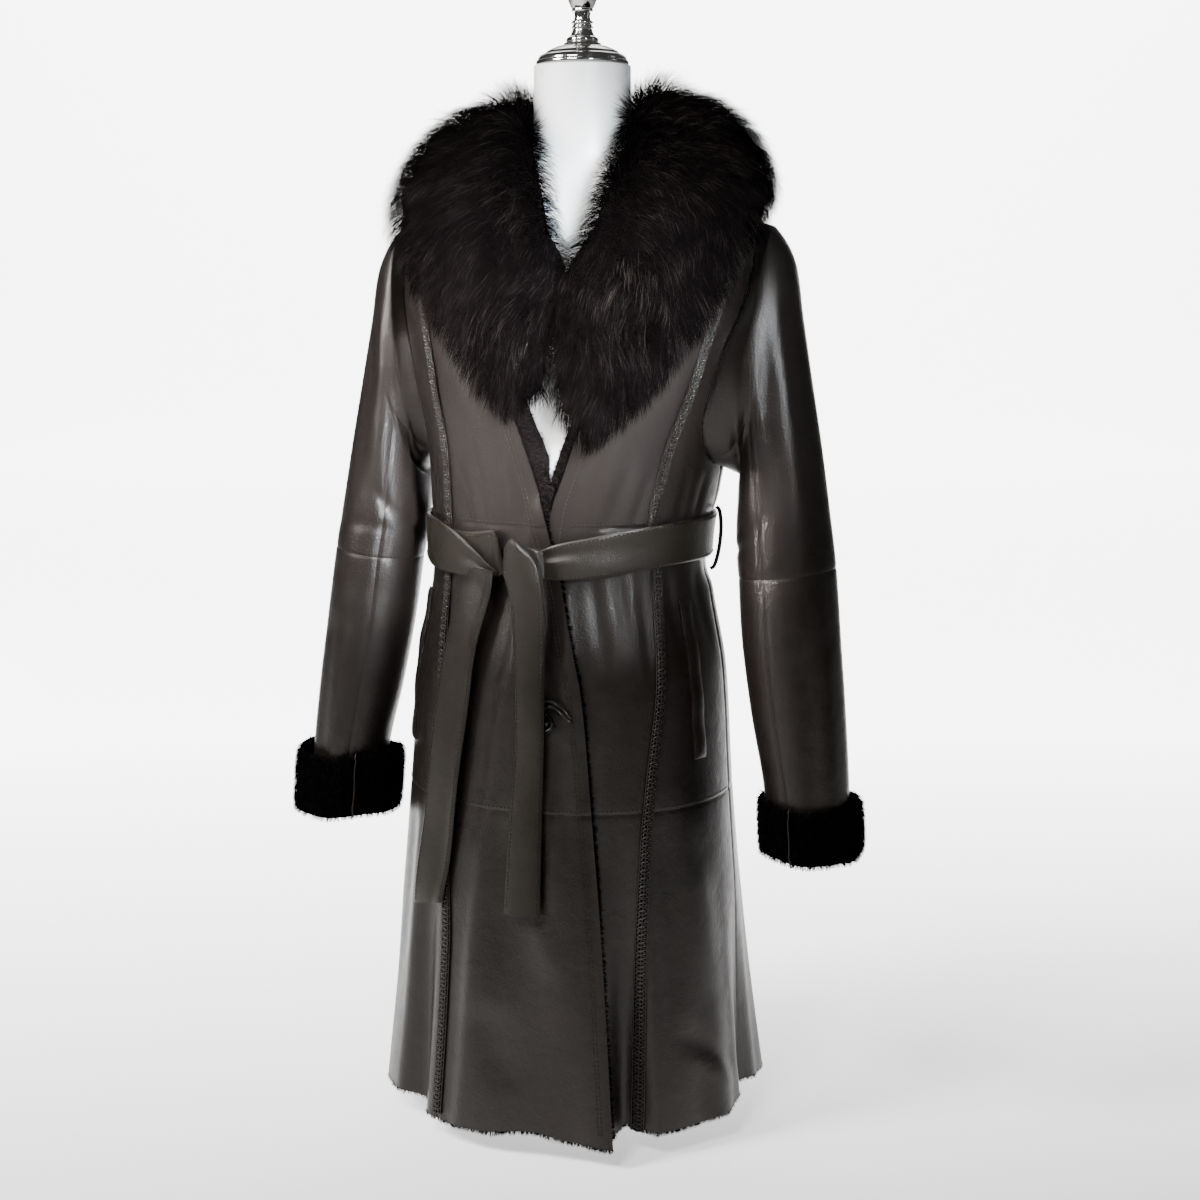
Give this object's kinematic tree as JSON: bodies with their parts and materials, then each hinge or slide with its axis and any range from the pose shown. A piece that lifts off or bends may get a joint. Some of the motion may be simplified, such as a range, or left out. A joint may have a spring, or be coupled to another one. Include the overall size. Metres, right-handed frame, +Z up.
{
  "type": "lambskin coat on a dress form",
  "caption": "Belted dark lambskin coat with a long-fur shawl collar and fur cuffs, worn by a white limbless dress form on a low stand",
  "frame": {"origin": "the middle of the underside of the stand's base, on the floor", "axes": "+Z up along the form's pole, -Y the garment's front, +X the wearer's left side"},
  "size_m": [0.6312, 0.3446, 1.2116],
  "materials": {
    "leather": "satin",
    "belt_leather": "satin",
    "braid_leather": "satin",
    "long_fur": "matte",
    "short_fur": "matte",
    "form_white": "gloss",
    "chrome": "polished",
    "base_steel": "brushed",
    "button_metal": "polished"
  },
  "bodies": {
    "root": {"back_bodice": "leather", "back_hem": "leather", "back_skirt": "leather", "belt_band": "belt_leather", "belt_knot": "belt_leather", "belt_loop_left": "belt_leather", "belt_loop_right": "belt_leather", "belt_tail_front": "belt_leather", "belt_tail_side": "belt_leather", "braid_left": "braid_leather", "braid_right": "braid_leather", "button": "button_metal", "button_loop": "braid_leather", "collar_left": "long_fur", "collar_right": "long_fur", "cuff_left": "short_fur", "cuff_right": "short_fur", "form_base": "base_steel", "form_finial": "chrome", "form_finial_stem": "chrome", "form_neck_cap": "chrome", "form_pole": "base_steel", "form_torso": "form_white", "front_left_bodice": "leather", "front_left_hem": "leather", "front_left_skirt": "leather", "front_right_bodice": "leather", "front_right_hem": "leather", "front_right_skirt": "leather", "pocket_welt_left": "leather", "pocket_welt_right": "leather", "side_back_left_bodice": "leather", "side_back_left_hem": "leather", "side_back_left_skirt": "leather", "side_back_right_bodice": "leather", "side_back_right_hem": "leather", "side_back_right_skirt": "leather", "side_front_left_bodice": "leather", "side_front_left_hem": "leather", "side_front_left_skirt": "leather", "side_front_right_bodice": "leather", "side_front_right_hem": "leather", "side_front_right_skirt": "leather", "sleeve_left_top_lower": "leather", "sleeve_left_top_upper": "leather", "sleeve_left_under_lower": "leather", "sleeve_left_under_upper": "leather", "sleeve_right_top_lower": "leather", "sleeve_right_top_upper": "leather", "sleeve_right_under_lower": "leather", "sleeve_right_under_upper": "leather"}
  },
  "joints": []
}
